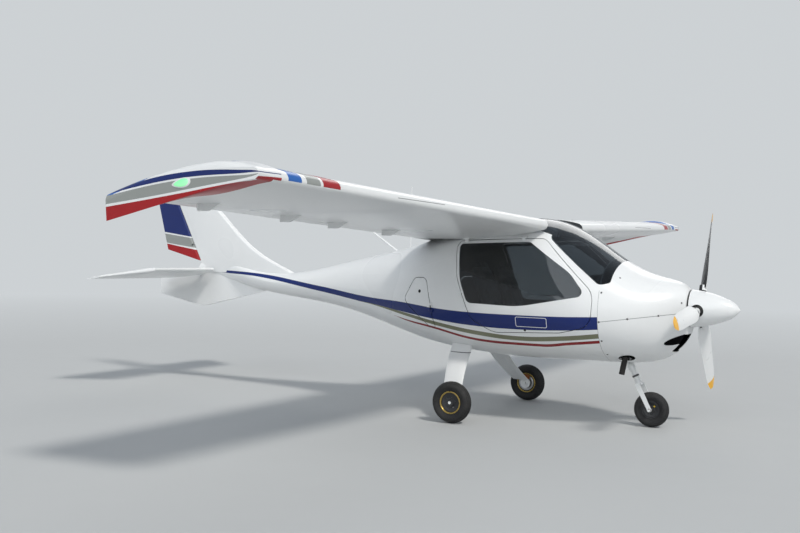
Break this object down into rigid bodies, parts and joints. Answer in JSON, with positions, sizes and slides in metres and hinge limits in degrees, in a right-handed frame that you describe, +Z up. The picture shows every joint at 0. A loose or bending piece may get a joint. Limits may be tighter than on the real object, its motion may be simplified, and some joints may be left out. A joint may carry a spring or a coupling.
{
  "type": "ultralight aircraft",
  "caption": "High-wing two-seat ultralight aeroplane on a tricycle gear, with an all-moving tailplane, gull-wing cabin doors and a tractor propeller.",
  "frame": {"origin": "on the ground, midway along the length and on the centre line", "axes": "+X towards the nose, +Y to port, +Z up"},
  "size_m": [6.21, 8.5, 2.15],
  "materials": {
    "aerial_dark": "satin",
    "blade_white": "painted composite blades with yellow tips",
    "cabin_grey": "moulded trim",
    "canopy_glass": "tinted clear plastic",
    "engine_metal": "cast, painted dark",
    "exhaust_black": "sooty steel",
    "gelcoat_white": "gloss composite gel coat",
    "lamp_green": "green lens",
    "lamp_red": "red lens",
    "leg_white": "gloss paint",
    "rim_metal": "machined",
    "seat_cloth": "woven upholstery over foam",
    "steel_firewall": "bare sheet",
    "tyre_rubber": "black rubber"
  },
  "bodies": {
    "airframe": {"aerials": "aerial_dark", "cabin_floor": "cabin_grey", "centre_console": "cabin_grey", "cowl_lower": "gelcoat_white", "cowl_upper": "gelcoat_white", "engine_block": "engine_metal", "exhaust_pipe": "exhaust_black", "firewall": "steel_firewall", "fuselage_half_left": "gelcoat_white", "fuselage_half_right": "gelcoat_white", "instrument_panel": "cabin_grey", "main_leg_left": "leg_white", "main_leg_right": "leg_white", "nose_strut": "leg_white", "rear_bulkhead": "cabin_grey", "seat_left": "seat_cloth", "seat_right": "seat_cloth", "tip_lamp_left": "lamp_red", "tip_lamp_right": "lamp_green", "ventral_fin": "gelcoat_white", "vertical_fin": "gelcoat_white", "windshield": "canopy_glass", "wing_left": "gelcoat_white", "wing_right": "gelcoat_white"},
    "propeller": {"propeller_blades": "blade_white", "spinner": "gelcoat_white"},
    "main_wheel_left": {"main_tyre_left": "tyre_rubber", "main_rim_left": "rim_metal"},
    "main_wheel_right": {"main_tyre_right": "tyre_rubber", "main_rim_right": "rim_metal"},
    "nose_leg": {"nose_fork": "leg_white"},
    "nose_wheel": {"nose_tyre": "tyre_rubber", "nose_rim": "rim_metal"},
    "cabin_door_left": {"door_left": "gelcoat_white", "door_window_left": "canopy_glass"},
    "cabin_door_right": {"door_right": "gelcoat_white", "door_window_right": "canopy_glass"},
    "hatch_left": {"baggage_hatch_left": "gelcoat_white"},
    "hatch_right": {"baggage_hatch_right": "gelcoat_white"},
    "left_flap": {"flap_left": "gelcoat_white"},
    "right_flap": {"flap_right": "gelcoat_white"},
    "left_aileron": {"aileron_left": "gelcoat_white"},
    "right_aileron": {"aileron_right": "gelcoat_white"},
    "rudder_body": {"rudder": "gelcoat_white"},
    "tailplane_body": {"tailplane": "gelcoat_white"},
    "tab_body": {"servo_tabs": "gelcoat_white"}
  },
  "joints": [
    {"name": "prop_spin", "type": "hinge", "parent": "airframe", "child": "propeller", "pos_m": [2.793, 0, 0.998], "axis": [1, 0, 0], "continuous": true},
    {"name": "main_wheel_left_spin", "type": "hinge", "parent": "airframe", "child": "main_wheel_left", "pos_m": [0.978, 0.825, 0.173], "axis": [0, 1, 0], "continuous": true},
    {"name": "main_wheel_right_spin", "type": "hinge", "parent": "airframe", "child": "main_wheel_right", "pos_m": [0.978, -0.825, 0.173], "axis": [0, 1, 0], "continuous": true},
    {"name": "nose_steer", "type": "hinge", "parent": "airframe", "child": "nose_leg", "pos_m": [2.2, 0, 0.56], "axis": [-0.4592, 0, 0.8883], "range_deg": [-18, 18]},
    {"name": "nose_wheel_spin", "type": "hinge", "parent": "nose_leg", "child": "nose_wheel", "pos_m": [2.414, 0, 0.146], "axis": [0, 1, 0], "continuous": true},
    {"name": "door_left_swing", "type": "hinge", "parent": "airframe", "child": "cabin_door_left", "pos_m": [1.455, 0.527, 1.546], "axis": [0.9989, 0.0415, 0.0207], "range_deg": [0, 50]},
    {"name": "door_right_swing", "type": "hinge", "parent": "airframe", "child": "cabin_door_right", "pos_m": [1.455, -0.527, 1.546], "axis": [-0.9989, 0.0415, -0.0207], "range_deg": [0, 50]},
    {"name": "hatch_left_swing", "type": "hinge", "parent": "airframe", "child": "hatch_left", "pos_m": [0.6375, 0.575, 0.752], "axis": [-0.1067, 0, 0.9943], "range_deg": [-90, 0]},
    {"name": "hatch_right_swing", "type": "hinge", "parent": "airframe", "child": "hatch_right", "pos_m": [0.6375, -0.575, 0.752], "axis": [-0.1067, 0, 0.9943], "range_deg": [0, 90]},
    {"name": "flap_right_hinge", "type": "hinge", "parent": "airframe", "child": "right_flap", "pos_m": [0.65269, -0.605, 1.58424], "axis": [0.0312, -0.9988, 0.0368], "range_deg": [-12, 40]},
    {"name": "flap_left_hinge", "type": "hinge", "parent": "airframe", "child": "left_flap", "pos_m": [0.65269, 0.605, 1.58424], "axis": [-0.0312, -0.9988, -0.0368], "range_deg": [-12, 40]},
    {"name": "aileron_right_hinge", "type": "hinge", "parent": "airframe", "child": "right_aileron", "pos_m": [0.71513, -2.6025, 1.65773], "axis": [0.0312, -0.9988, 0.0368], "range_deg": [-18, 18]},
    {"name": "aileron_left_hinge", "type": "hinge", "parent": "airframe", "child": "left_aileron", "pos_m": [0.71513, 2.6025, 1.65773], "axis": [-0.0312, -0.9988, -0.0368], "range_deg": [-18, 18]},
    {"name": "rudder_hinge", "type": "hinge", "parent": "airframe", "child": "rudder_body", "pos_m": [-2.435, 0, 1.262], "axis": [-0.4639, 0, 0.8859], "range_deg": [-25, 25]},
    {"name": "tailplane_hinge", "type": "hinge", "parent": "airframe", "child": "tailplane_body", "pos_m": [-2.355, 0, 1.162], "axis": [0, 1, 0], "range_deg": [-3, 22]},
    {"name": "tab_hinge", "type": "hinge", "parent": "tailplane_body", "child": "tab_body", "pos_m": [-2.75665, 0, 1.09623], "axis": [0, 1, 0], "range_deg": [-10, 10]}
  ],
  "couplings": [
    {"joint": "flap_left_hinge", "follows": "flap_right_hinge", "ratio": 1},
    {"joint": "aileron_left_hinge", "follows": "aileron_right_hinge", "ratio": -1},
    {"joint": "rudder_hinge", "follows": "nose_steer", "ratio": -1.3889},
    {"joint": "tab_hinge", "follows": "tailplane_hinge", "ratio": 0.4}
  ]
}
